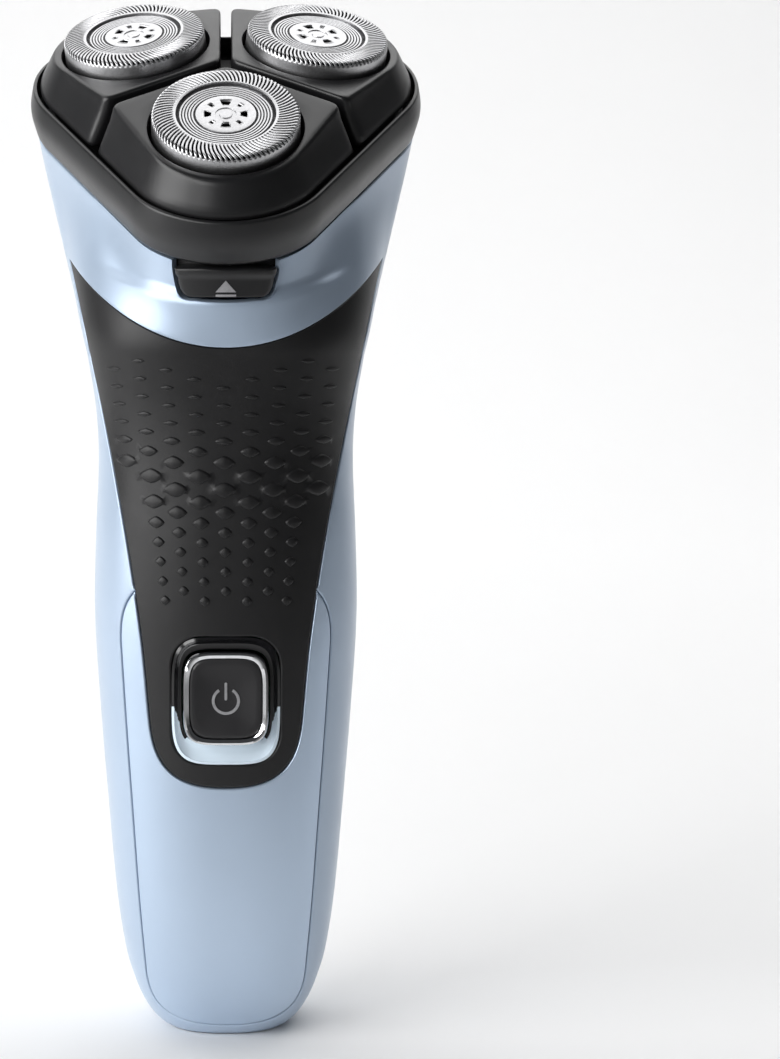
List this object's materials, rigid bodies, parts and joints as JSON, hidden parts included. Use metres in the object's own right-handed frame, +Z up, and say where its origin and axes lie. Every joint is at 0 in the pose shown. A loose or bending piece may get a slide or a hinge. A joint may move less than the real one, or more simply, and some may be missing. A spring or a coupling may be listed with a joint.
{
  "type": "rotary electric shaver",
  "caption": "Cordless rotary electric shaver with three floating slotted heads on a hinged shaving unit, soft grip, power key and rear pop-up trimmer.",
  "frame": {"origin": "centre of the flat foot at the lower end of the handle", "axes": "+Z up the handle to the shaving heads, -Y the side with the power key, +X to the right seen from that side"},
  "size_m": [0.0602, 0.0536, 0.1595],
  "materials": {
    "blue_shell": "satin",
    "blue_gloss": "gloss",
    "soft_black": "matte soft touch",
    "satin_black": "satin",
    "charcoal": "satin",
    "guard_steel": "polished and brushed",
    "steel": "turned",
    "chrome": "polished",
    "pearl": "gloss",
    "grey_plastic": "moulded",
    "nylon": "moulded",
    "board_green": "solder mask",
    "copper": "plated",
    "seal_rubber": "matte",
    "cell_wrap": "shrink wrap"
  },
  "bodies": {
    "handle": {"front_shell": "blue_shell", "rear_shell": "blue_shell", "grip": "soft_black", "front_panel": "blue_gloss", "rear_grip": "soft_black", "case_screw_1": "steel", "case_screw_2": "steel", "case_screw_3": "steel", "case_screw_4": "steel", "button_frame": "pearl", "release_spring": "steel", "battery_cell": "cell_wrap", "battery_tab_lower": "copper", "battery_tab_upper": "copper", "chassis": "nylon", "circuit_board": "board_green", "power_switch": "grey_plastic", "indicator_light": "pearl", "charging_socket": "satin_black", "charging_pin_1": "copper", "charging_pin_2": "copper", "trimmer_tray": "satin_black", "trimmer_pin": "steel", "motor_can": "steel", "motor_plate": "grey_plastic", "coupling_deck": "satin_black", "spindle_seal_front": "seal_rubber", "spindle_seal_right": "seal_rubber", "spindle_seal_left": "seal_rubber", "hinge_bracket": "grey_plastic"},
    "motor_rotor": {"rotor": "copper", "pinion": "nylon"},
    "power_key": {"power_button": "charcoal", "power_button_ring": "chrome"},
    "release": {"release_key": "satin_black"},
    "trimmer": {"trimmer_arm": "satin_black", "trimmer_comb": "steel"},
    "trimmer_cutting_blade": {"trimmer_blade": "steel"},
    "trimmer_catch": {"trimmer_slider": "satin_black"},
    "shaving_unit": {"head_skirt": "satin_black", "hinge_pin": "steel", "chamber_plate": "satin_black", "retaining_frame": "nylon"},
    "drive_front": {"drive_gear_front": "nylon", "drive_spindle_front": "steel"},
    "drive_right": {"drive_gear_right": "nylon", "drive_spindle_right": "steel"},
    "drive_left": {"drive_gear_left": "nylon", "drive_spindle_left": "steel"},
    "petal_front": {"cell_front": "satin_black"},
    "guard_body_front": {"guard_front": "guard_steel"},
    "cutter_body_front": {"cutter_front": "steel"},
    "petal_right": {"cell_right": "satin_black"},
    "guard_body_right": {"guard_right": "guard_steel"},
    "cutter_body_right": {"cutter_right": "steel"},
    "petal_left": {"cell_left": "satin_black"},
    "guard_body_left": {"guard_left": "guard_steel"},
    "cutter_body_left": {"cutter_left": "steel"}
  },
  "joints": [
    {"name": "motor_spin", "type": "hinge", "parent": "handle", "child": "motor_rotor", "pos_m": [0, 0.00925, 0.12652], "axis": [0, -0.5446, 0.8387], "continuous": true},
    {"name": "drive_front_spin", "type": "hinge", "parent": "handle", "child": "drive_front", "pos_m": [0, -0.00714, 0.12422], "axis": [0, -0.5446, 0.8387], "continuous": true},
    {"name": "drive_right_spin", "type": "hinge", "parent": "handle", "child": "drive_right", "pos_m": [0.01299, 0.01173, 0.13647], "axis": [0, -0.5446, 0.8387], "continuous": true},
    {"name": "drive_left_spin", "type": "hinge", "parent": "handle", "child": "drive_left", "pos_m": [-0.01299, 0.01173, 0.13647], "axis": [0, -0.5446, 0.8387], "continuous": true},
    {"name": "head_open", "type": "hinge", "parent": "handle", "child": "shaving_unit", "pos_m": [0, 0.02069, 0.1504], "axis": [-1, 0, 0], "range_deg": [0, 70]},
    {"name": "petal_front_rock", "type": "hinge", "parent": "shaving_unit", "child": "petal_front", "pos_m": [0, -0.01686, 0.13698], "axis": [1, 0, 0], "range_deg": [-3, 3], "stiffness_Nm_per_rad": 0.05},
    {"name": "guard_front_float", "type": "slide", "parent": "petal_front", "child": "guard_body_front", "axis": [0, 0.6428, -0.766], "range_m": [0, 0.0006], "stiffness_N_per_m": 400, "springref_m": -0.001},
    {"name": "cutter_front_spin", "type": "hinge", "parent": "guard_body_front", "child": "cutter_body_front", "pos_m": [0, -0.01959, 0.14118], "axis": [0, -0.6428, 0.766], "continuous": true},
    {"name": "petal_right_rock", "type": "hinge", "parent": "shaving_unit", "child": "petal_right", "pos_m": [0.01403, 0.00352, 0.15022], "axis": [-0.5, 0.7263, 0.4717], "range_deg": [-3, 3], "stiffness_Nm_per_rad": 0.05},
    {"name": "guard_right_float", "type": "slide", "parent": "petal_right", "child": "guard_body_right", "axis": [-0.1055, 0.4895, -0.8656], "range_m": [0, 0.0006], "stiffness_N_per_m": 400, "springref_m": -0.001},
    {"name": "cutter_right_spin", "type": "hinge", "parent": "guard_body_right", "child": "cutter_body_right", "pos_m": [0.01403, 0.00079, 0.15441], "axis": [0.1055, -0.4895, 0.8656], "continuous": true},
    {"name": "petal_left_rock", "type": "hinge", "parent": "shaving_unit", "child": "petal_left", "pos_m": [-0.01403, 0.00352, 0.15022], "axis": [-0.5, -0.7263, -0.4717], "range_deg": [-3, 3], "stiffness_Nm_per_rad": 0.05},
    {"name": "guard_left_float", "type": "slide", "parent": "petal_left", "child": "guard_body_left", "axis": [0.1055, 0.4895, -0.8656], "range_m": [0, 0.0006], "stiffness_N_per_m": 400, "springref_m": -0.001},
    {"name": "cutter_left_spin", "type": "hinge", "parent": "guard_body_left", "child": "cutter_body_left", "pos_m": [-0.01403, 0.00079, 0.15441], "axis": [-0.1055, -0.4895, 0.8656], "continuous": true},
    {"name": "power_press", "type": "slide", "parent": "handle", "child": "power_key", "axis": [0, 1, 0], "range_m": [0, 0.0006], "stiffness_N_per_m": 900, "springref_m": -0.0008},
    {"name": "release_press", "type": "slide", "parent": "handle", "child": "release", "axis": [0, 1, 0], "range_m": [0, 0.0008], "stiffness_N_per_m": 500, "springref_m": -0.001},
    {"name": "trimmer_open", "type": "hinge", "parent": "handle", "child": "trimmer", "pos_m": [0, 0.0156, 0.0897], "axis": [-1, 0, 0], "range_deg": [0, 60]},
    {"name": "trimmer_stroke", "type": "slide", "parent": "trimmer", "child": "trimmer_cutting_blade", "axis": [1, 0, 0], "range_m": [-0.0006, 0.0006]},
    {"name": "trimmer_slide", "type": "slide", "parent": "handle", "child": "trimmer_catch", "axis": [0, 0, -1], "range_m": [0, 0.0015], "stiffness_N_per_m": 400, "springref_m": -0.001}
  ],
  "couplings": [
    {"joint": "drive_front_spin", "follows": "motor_spin", "ratio": -0.6},
    {"joint": "drive_right_spin", "follows": "motor_spin", "ratio": -0.6},
    {"joint": "drive_left_spin", "follows": "motor_spin", "ratio": -0.6},
    {"joint": "cutter_front_spin", "follows": "motor_spin", "ratio": -0.6},
    {"joint": "cutter_right_spin", "follows": "motor_spin", "ratio": -0.6},
    {"joint": "cutter_left_spin", "follows": "motor_spin", "ratio": -0.6}
  ]
}
